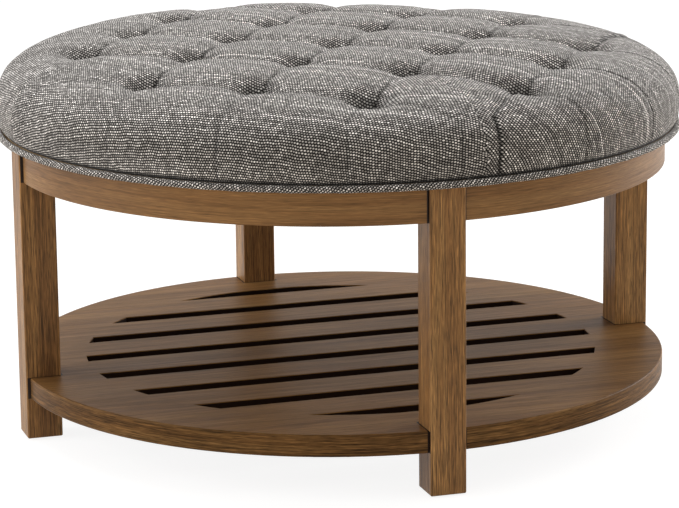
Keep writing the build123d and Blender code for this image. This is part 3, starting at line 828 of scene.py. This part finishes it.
def fold_cloth(mesh):
    """Creases, pleats and small unevenness of the cloth, and the shade painted in them."""
    place = points_of(mesh)
    normal = np.empty(len(mesh.vertices) * 3)
    mesh.vertices.foreach_get("normal", normal)
    normal = normal.reshape(-1, 3)
    flat = place[:, :2]
    radius = np.hypot(*flat.T)
    angle = np.arctan2(place[:, 1], place[:, 0])
    outside = np.clip((place[:, 2] - CREASED_FROM) / CREASED_RISE, 0, 1)
    crease_depth, crease_shade = crease(flat)
    pleat_depth, pleat_shade = pleat_fold(flat, radius, angle)
    # Painted shade in the tuck over the welt, darker toward the bottom
    seam_shade = np.clip((SEAM_SHADE_TOP - place[:, 2]) / SEAM_SHADE_HEIGHT, 0, 1) * SEAM_SHADE
    shade = np.maximum(np.maximum(crease_shade, pleat_shade), seam_shade)
    move = -crease_depth - pleat_depth
    move = move + CLOTH_RIPPLE * ripple(place[:, :2] + place[:, 2:3], CLOTH_RIPPLE_SCALE, (5, 6, 7, 8))
    place = place + normal * (move * outside)[:, None]
    mesh.vertices.foreach_set("co", (place * MM).ravel())
    # Painted shade in the creases, pleats, pits and seam tuck, kept for the cloth's shader
    fold = mesh.attributes.new("fold", "FLOAT", "POINT")
    fold.data.foreach_set("value", shade.astype(np.float32))
    mesh.polygons.foreach_set("use_smooth", np.ones(len(mesh.polygons), bool))
    mesh.update()


def make_cushion():
    mesh, outer_count = build_cushion_mesh()
    lay_weave(mesh)
    piece = bpy.data.objects.new("tufted_cushion", mesh)
    bpy.context.scene.collection.objects.link(piece)
    held = held_points(points_of(mesh), outer_count)
    inflate(piece, held, cap=SWELL_CAP * MM)
    refine(piece)
    fold_cloth(piece.data)
    piece.data.materials.append(tweed("grey_tweed", gain=1.12))
    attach(piece, "root")
    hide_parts("cushion_cover", "foam_pad")


# Welt: sizes in millimetres

WELT_CENTRE = 400.85
WELT_INSET = 0.1
WELT_HEIGHT = 352.05
WELT_RADIUS = 4.05
WELT_PARTS = 1080
WELT_SIDES = 18
LAP_ANGLE = math.pi * 0.53
LAP_LENGTH = 4.0
BIAS = 0.707


def make_welt():
    """Piping: a bias-cut strip wrapped round a cord, its ends lapped at the back."""
    turn = np.linspace(0, 2 * math.pi, WELT_PARTS, endpoint=False)
    roll = np.linspace(0, 2 * math.pi, WELT_SIDES, endpoint=False)
    turn, roll = np.meshgrid(turn, roll, indexing="ij")
    swell = 1 + 0.03 * np.sin(turn * 47 + 1.3) + 0.02 * np.sin(turn * 83 + roll)
    lap = np.exp(-(((turn - LAP_ANGLE) * 400 / LAP_LENGTH) ** 2))
    tube = WELT_RADIUS * (0.97 * swell + 0.05 * lap)
    radius = WELT_CENTRE + tube * np.cos(roll) - WELT_INSET
    height = WELT_HEIGHT + tube * np.sin(roll)
    vertices = np.stack([radius * np.cos(turn), radius * np.sin(turn), height], -1).reshape(-1, 3)
    index = np.arange(WELT_PARTS * WELT_SIDES).reshape(WELT_PARTS, WELT_SIDES)
    across, down = np.roll(index, -1, 0), np.roll(index, -1, 1)
    both = np.roll(across, -1, 1)
    faces = np.stack([index, across, both, down], -1).reshape(-1, 4)
    mesh = bpy.data.meshes.new("welt")
    mesh.from_pydata((vertices * MM).tolist(), [], faces.tolist())
    mesh.validate()
    mesh.update()
    weave = mesh.uv_layers.new(name="weave")
    values = np.zeros((len(mesh.loops), 2))
    for face in mesh.polygons:
        part, rung = divmod(face.vertices[0], WELT_SIDES)
        for loop, (step, rise) in zip(face.loop_indices, ((0, 0), (1, 0), (1, 1), (0, 1))):
            length = (part + step) * 2 * math.pi * WELT_CENTRE / WELT_PARTS
            girth = (rung + rise) * 2 * math.pi * WELT_RADIUS / WELT_SIDES
            values[loop] = ((length + girth) * BIAS * MM, (length - girth) * BIAS * MM)
        face.use_smooth = True
    weave.data.foreach_set("uv", values.ravel())
    piece = bpy.data.objects.new("welt_piping", mesh)
    bpy.context.scene.collection.objects.link(piece)
    # The welt's tweed is made lighter than the cushion's (gain 1.3 against 1.12): painted light against
    # the shade under the cushion's edge
    mesh.materials.append(tweed("welt_tweed", gain=1.3, slubs=0.0, with_painted_shade=False))
    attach(piece, "root")
    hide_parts("cushion_welt")


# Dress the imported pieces

LEGS = ("right", "back", "left", "front")


def dress():
    """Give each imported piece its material; each leg is cut from its own part of the grain."""
    up = {}
    for turn, leg in enumerate(LEGS):
        up[leg] = stained_wood("leg_wood_%d" % turn, "up", shift=0.37 * (turn + 1),
                               gain=1.11, figure=1.05, fine=900.0)
    finishes = {
        "raw_wood": raw_wood("block_wood", srgb(214, 182, 138), srgb(180, 142, 98)),
        "plywood": plywood(),
        "twine": plain("waxed_twine", srgb(206, 196, 170), 0.8, grain=900.0),
        "nylon": plain("dark_nylon", srgb(44, 43, 42), 0.5, grain=400.0),
        "dust_cloth": plain("dust_cloth", srgb(34, 34, 35), 0.95, grain=1400.0, strength=0.6),
        "zinc_steel": plain("zinc_steel", srgb(196, 197, 194), 0.34, metallic=1.0, grain=300.0,
                            depth=0.0001, strength=0.15),
        "foam": plain("foam", srgb(222, 212, 180), 0.95, grain=1200.0, strength=0.7),
        "linen_fabric": plain("spare_fabric", srgb(140, 136, 130), 0.95),
    }
    ring = stained_wood("apron_wood", "ring", shift=1.9, gain=0.93, figure=0.5, spread=0.7)
    flat = stained_wood("shelf_wood", "across", shift=0.83, gain=0.74, figure=0.45, spread=0.6,
                        specular=0.08)
    for name, piece in frame["nodes"].items():
        if name.startswith("leg_") and name != "leg_glides":
            finish = up[name.removeprefix("leg_")]
        elif name.startswith("apron_") and name != "apron_dowels":
            finish = ring
        elif name == "shelf_panel":
            finish = flat
        else:
            finish = finishes[piece.data.materials[0].name.split(".")[0]]
        for place in piece.material_slots:
            place.link = "OBJECT"
            place.material = finish


# Stage, light and camera

FLOOR_REACH = 9.0
FLOOR_COLOUR = (0.6, 0.55, 0.48, 1.0)
FLOOR_GLOW = 0.88
WORLD_LEVEL = 0.47
WORLD_TINT = (1.0, 0.955, 0.89, 1.0)
SENSOR_WIDTH = 36.0
PHOTO_WIDTH = 679.0


def seen_directly(tree):
    """One for camera and glossy rays, which meet a white background, and zero for all others."""
    rays = tree.nodes.new("ShaderNodeLightPath")
    return maths(tree, "MAXIMUM", rays.outputs["Is Camera Ray"], rays.outputs["Is Glossy Ray"])


def make_stage():
    """A wide floor that keeps the table's shadow and looks white."""
    mesh = bpy.data.meshes.new("floor")
    corners = [(x * FLOOR_REACH, y * FLOOR_REACH, 0) for x, y in ((-1, -1), (1, -1), (1, 1), (-1, 1))]
    mesh.from_pydata(corners, [], [(0, 1, 2, 3)])
    floor = bpy.data.objects.new("floor", mesh)
    bpy.context.scene.collection.objects.link(floor)
    made = bpy.data.materials.new("pale_floor")
    made.use_nodes = True
    tree = made.node_tree
    tree.nodes.clear()
    shade = node(tree, "ShaderNodeBsdfDiffuse", {"Color": FLOOR_COLOUR})
    seen = node(tree, "ShaderNodeBsdfDiffuse", {"Color": grey(0.3)})
    glow = node(tree, "ShaderNodeEmission", {"Color": grey(1.0), "Strength": FLOOR_GLOW})
    bright = node(tree, "ShaderNodeAddShader", {0: seen, 1: glow})
    blend = node(tree, "ShaderNodeMixShader", {0: seen_directly(tree), 1: shade, 2: bright})
    tree.links.new(blend, tree.nodes.new("ShaderNodeOutputMaterial").inputs[0])
    mesh.materials.append(made)


def make_light():
    """A pale world and three soft lamps."""
    scene = bpy.context.scene
    world = bpy.data.worlds.new("studio")
    scene.world = world
    world.use_nodes = True
    tree = world.node_tree
    tree.nodes.clear()
    direct = seen_directly(tree)
    strength = maths(tree, "MULTIPLY_ADD", direct, 1.0 - WORLD_LEVEL, WORLD_LEVEL)
    tint = mixed(tree, direct, WORLD_TINT, grey(1.0))
    sky = node(tree, "ShaderNodeBackground", {"Color": tint, "Strength": strength})
    tree.links.new(sky, tree.nodes.new("ShaderNodeOutputWorld").inputs[0])
    lamps = (
        ("key_top", (-0.2, 0.9, 2.6), (0, 0.05, 0.3), 2.2, 34.0),
        ("side_left", (-2.6, 0.3, 1.0), (0, 0, 0.3), 1.6, 24.0),
        ("side_right", (2.7, 0.6, 1.0), (0, 0, 0.3), 1.6, 44.0),
    )
    for name, place, target, size, power in lamps:
        data = bpy.data.lights.new(name, "AREA")
        data.shape = "DISK"
        data.size = size
        data.energy = power
        lamp = bpy.data.objects.new(name, data)
        scene.collection.objects.link(lamp)
        lamp.location = place
        lamp.rotation_euler = (Vector(place) - Vector(target)).to_track_quat("Z", "Y").to_euler()


def make_camera():
    """The photograph's view; its corrected uprights are approached with a camera tilted down."""
    focal, distance, height = 3114.0, 3.6447, 1.03341
    azimuth, roll, pitch = 0.3046, -0.01099, 0.22771
    level = Vector((math.sin(azimuth), math.cos(azimuth), 0))
    right = Vector((math.cos(azimuth), -math.sin(azimuth), 0))
    upward = Vector((0, 0, 1))
    forward = level * math.cos(pitch) - upward * math.sin(pitch)
    top = level * math.sin(pitch) + upward * math.cos(pitch)
    side = right * math.cos(roll) + top * math.sin(roll)
    top = -right * math.sin(roll) + top * math.cos(roll)
    data = bpy.data.cameras.new("camera")
    data.sensor_width = SENSOR_WIDTH
    data.lens = focal * SENSOR_WIDTH / PHOTO_WIDTH
    camera = bpy.data.objects.new("camera", data)
    bpy.context.scene.collection.objects.link(camera)
    turn = Matrix((side, top, -forward)).transposed().to_4x4()
    camera.matrix_world = Matrix.Translation(-level * distance + upward * height) @ turn
    bpy.context.scene.camera = camera


bpy.context.scene.view_settings.view_transform = "Standard"
make_stage()
make_light()
make_camera()
make_cushion()
make_welt()
dress()
